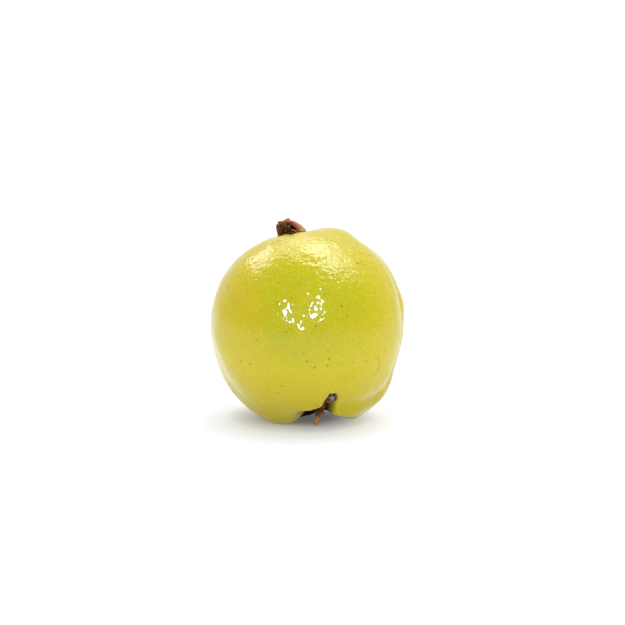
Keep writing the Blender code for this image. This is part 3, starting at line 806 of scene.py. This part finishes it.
def branch(points):
    """A round tapering branch along a smooth path, as a mesh."""
    deselect_all()
    bpy.ops.curve.primitive_nurbs_path_add(location=(0, 0, 0))
    path = bpy.context.active_object
    spline = path.data.splines[0]
    spline.points.add(max(0, len(points) + 1 - len(spline.points)))
    # The spare points of the path run on at its end
    for i, point in enumerate(spline.points):
        x, y, z, radius = points[min(i, len(points) - 1)]
        point.co, point.radius = (x * MM, y * MM, z * MM, 1.0), radius
    spline.order_u, spline.use_endpoint_u = 3, True
    path.data.bevel_depth = MM
    path.data.bevel_resolution = 5
    path.data.use_fill_caps = True
    path.data.resolution_u = 8
    bpy.ops.object.convert(target="MESH")
    return bpy.context.active_object


class GUAVA_OT_stem(bpy.types.Operator):
    """Models the woody stalk: from the stem cavity to a cut end, with a side twig, a knot and a broken stub"""

    bl_idname = "guava.stem"
    bl_label = "Stalk"

    def execute(self, context):
        look = context.scene.guava_stem
        pieces = [branch(points) for points in (STALK, TWIG, STUB)]

        # The cut end is wider than it is tall
        end = Vector(STALK[-1][:3]) * MM
        near_end = {vert.index for vert in pieces[0].data.vertices if (vert.co - end).length < 2.4 * MM}
        take(pieces[0])
        choose(pieces[0], lambda index: index in near_end)
        bpy.ops.transform.resize(value=(1.2, 1, 0.82), center_override=end)
        bpy.ops.object.mode_set(mode="OBJECT")
        for x, y, z, radius in KNOTS:
            deselect_all()
            bpy.ops.mesh.primitive_ico_sphere_add(subdivisions=3, radius=radius * MM,
                                                  location=(x * MM, y * MM, z * MM))
            pieces.append(context.active_object)
        stem = join(pieces, "guava_stem")
        bpy.ops.object.transform_apply(location=True, rotation=True, scale=True)
        finish_with(stem, "REMESH", "grown together", mode="VOXEL", voxel_size=0.13 * MM)
        finish_with(stem, "SMOOTH", "soft", factor=0.5, iterations=4)
        displace(stem, "bark_lumps", 0.0014, 1.6 * look.grain, mid_level=0.55)
        displace(stem, "bark_wrinkles", 0.0005, look.grain)

        # The stub, the small knot and the bark behind the cut end are rubbed to a warmer brown
        knot, small = (Vector(KNOTS[i][:3]) * MM for i in (0, 1))
        paint(stem, rubbed=[
            0.05 + 0.95 * smooth(1.0 * MM, 2.2 * MM, knot.z - vert.co.z)
            + 0.5 * (1 - smooth(1.5 * MM, 3.0 * MM, (vert.co - end).length))
            + 0.6 * (1 - smooth(0.7 * MM, 1.8 * MM, (vert.co - small).length))
            for vert in stem.data.vertices
        ])
        settle(stem, twig_bark(look), "stem")
        return {"FINISHED"}


# Studio


def glowing_floor(colour):
    """Matt studio paper that glows as painted light, so it shows white: it bounces light up under the fruit and takes
    a soft contact shadow, and its glow is dimmed near the fruit as a painted shadow.
    """
    material, tree, shader = new_material("glowing_paper")
    # The bluish grey is shown white by the painted glow. Its blue tint is painted light too: it offsets the yellow
    # light the fruit bounces into the shadow
    shader.inputs["Base Color"].default_value = colour
    shader.inputs["Roughness"].default_value = 0.9
    # Painted light: the paper glows, which keeps the shadow as soft as on a lit table. Near a point under the fruit
    # the glow is dimmed, as a painted contact shadow
    shader.inputs["Emission Color"].default_value = (1, 1, 1, 1)
    place = add_node(tree, "ShaderNodeTexCoord").outputs["Object"]
    out = add_node(tree, "ShaderNodeVectorMath", {0: place, 1: (-3 * MM, 2 * MM, 0)}, operation="DISTANCE")
    glow = remap(tree, out.outputs["Value"], 11 * MM, 28 * MM, 0.10, 0.46)
    tree.links.new(glow, shader.inputs["Emission Strength"])
    return material


def soft_box(name, towards, distance, size, power, size_y=None, roll=0.0, lights=True, shines=True):
    """A square or oblong softbox that faces the fruit. It may light the fruit, shine in its wax, or both."""
    place = MIDDLE + Vector(towards).normalized() * distance
    facing = (MIDDLE - place).to_track_quat("-Z", "Y")
    turn = (facing @ Quaternion((0, 0, 1), math.radians(roll))).to_euler()
    bpy.ops.object.light_add(type="AREA", location=place, rotation=turn)
    lamp = bpy.context.active_object
    lamp.name = name
    lamp.data.energy = power
    lamp.data.size = size
    if size_y:
        lamp.data.shape = "RECTANGLE"
        lamp.data.size_y = size_y
    lamp.visible_diffuse = lights
    lamp.visible_glossy = shines
    lamp.visible_camera = False


class GUAVA_OT_studio(bpy.types.Operator):
    """Sets the camera, the pale floor and the soft lights"""

    bl_idname = "guava.studio"
    bl_label = "Studio"

    def execute(self, context):
        studio = context.scene.guava_studio
        deselect_all()
        bpy.ops.mesh.primitive_plane_add(size=40.0, location=(0, 0, 0))
        floor = context.active_object
        floor.name = "studio_floor"
        floor.data.materials.append(glowing_floor(studio.floor))

        # The camera looks along the photo's line, with the fruit a little left of and below its middle
        e = studio.elevation
        ahead = Vector((0, math.cos(e), -math.sin(e)))
        upwards = Vector((0, math.sin(e), math.cos(e)))
        aim = MIDDLE + Vector((5.5 * PIXEL, 0, 0)) + upwards * (12.5 * PIXEL)
        bpy.ops.object.camera_add(location=aim - ahead * studio.distance, rotation=(math.pi / 2 - e, 0, 0))
        camera = context.active_object
        camera.name = "camera"
        camera.data.lens = studio.lens
        camera.data.sensor_width = 36.0
        camera.data.clip_start, camera.data.clip_end = 0.05, 100.0
        context.scene.camera = camera

        # A broad soft sun lights floor and fruit alike. The boxes are what the wax reflects
        bpy.ops.object.light_add(type="SUN", rotation=Vector((0.12, 0.12, 1.0)).to_track_quat("Z", "Y").to_euler())
        sun = context.active_object
        sun.name = "broad_light"
        sun.data.energy = 2.14
        sun.data.angle = math.radians(60)
        sun.visible_glossy = False
        soft_box("key_back_left", (-0.52, 0.42, 0.70), 1.1, 0.62, 3.6, size_y=0.34, roll=29, lights=False)
        soft_box("overhead", (0.24, 0.18, 0.95), 1.0, 0.80, 6.5, size_y=0.42, lights=False)
        soft_box("overhead_wide", (0.20, 0.30, 0.93), 1.1, 1.5, 11.0, size_y=0.8, lights=False)
        soft_box("left_fill", (-1.0, -0.55, 0.45), 1.2, 0.9, 2.1, shines=False)
        soft_box("right_fill", (1.0, -0.6, 0.45), 1.2, 0.9, 2.6, shines=False)
        soft_box("front_fill", (0.0, -1.0, 0.35), 1.2, 1.0, 1.3, shines=False)

        for name, across, up, width, height in RING:
            towards = Vector((across, 0, 0)) + upwards * up - ahead * math.sqrt(1 - across**2 - up**2)
            soft_box(name, towards, RING_DISTANCE, width, RING_POWER * width * height, size_y=height, lights=False)

        # Round the fruit it is white behind and above, and dim on the camera's side
        world = bpy.data.worlds.new("studio")
        context.scene.world = world
        world.use_nodes = True
        tree = world.node_tree
        tree.nodes.clear()
        where = add_node(tree, "ShaderNodeTexCoord").outputs["Generated"]
        ahead_of = add_node(tree, "ShaderNodeSeparateXYZ", {"Vector": where}).outputs["Y"]
        depth = remap(tree, ahead_of, 0.0, 0.85, 0.20, 0.90)
        seen = add_node(tree, "ShaderNodeLightPath").outputs["Is Camera Ray"]
        shown = add_node(tree, "ShaderNodeMix", {0: seen, 2: depth, 3: 1.0}, data_type="FLOAT").outputs[0]
        sky = add_node(tree, "ShaderNodeBackground", {"Color": (1, 1, 1, 1), "Strength": shown})
        add_node(tree, "ShaderNodeOutputWorld", {"Surface": sky.outputs[0]})
        context.scene.view_settings.view_transform = "Standard"
        return {"FINISHED"}


class GUAVA_PT_panel(bpy.types.Panel):
    bl_label = "Guava"
    bl_idname = "GUAVA_PT_panel"
    bl_space_type = "VIEW_3D"
    bl_region_type = "UI"
    bl_category = "Guava"

    def draw(self, context):
        scene = context.scene
        for label, group, operator in (
            ("Studio", scene.guava_studio, "guava.studio"),
            ("Skin", scene.guava_skin, "guava.skin"),
            ("Calyx", scene.guava_calyx, "guava.calyx"),
            ("Withered flower", scene.guava_flower, "guava.flower"),
            ("Stalk", scene.guava_stem, "guava.stem"),
        ):
            box = self.layout.box()
            box.label(text=label)
            for key in group.__annotations__:
                box.prop(group, key)
            box.operator(operator)


CLASSES = (
    GuavaSkin,
    GuavaCalyx,
    GuavaFlower,
    GuavaStem,
    GuavaStudio,
    GUAVA_OT_skin,
    GUAVA_OT_calyx,
    GUAVA_OT_flower,
    GUAVA_OT_stem,
    GUAVA_OT_studio,
    GUAVA_PT_panel,
)


def register():
    for cls in CLASSES:
        bpy.utils.register_class(cls)
    bpy.types.Scene.guava_skin = PointerProperty(type=GuavaSkin)
    bpy.types.Scene.guava_calyx = PointerProperty(type=GuavaCalyx)
    bpy.types.Scene.guava_flower = PointerProperty(type=GuavaFlower)
    bpy.types.Scene.guava_stem = PointerProperty(type=GuavaStem)
    bpy.types.Scene.guava_studio = PointerProperty(type=GuavaStudio)


def unregister():
    del bpy.types.Scene.guava_skin
    del bpy.types.Scene.guava_calyx
    del bpy.types.Scene.guava_flower
    del bpy.types.Scene.guava_stem
    del bpy.types.Scene.guava_studio
    for cls in reversed(CLASSES):
        bpy.utils.unregister_class(cls)


def main():
    register()
    bpy.ops.guava.studio()
    bpy.ops.guava.skin()
    bpy.ops.guava.calyx()
    bpy.ops.guava.flower()
    bpy.ops.guava.stem()


if __name__ == "__main__":
    main()
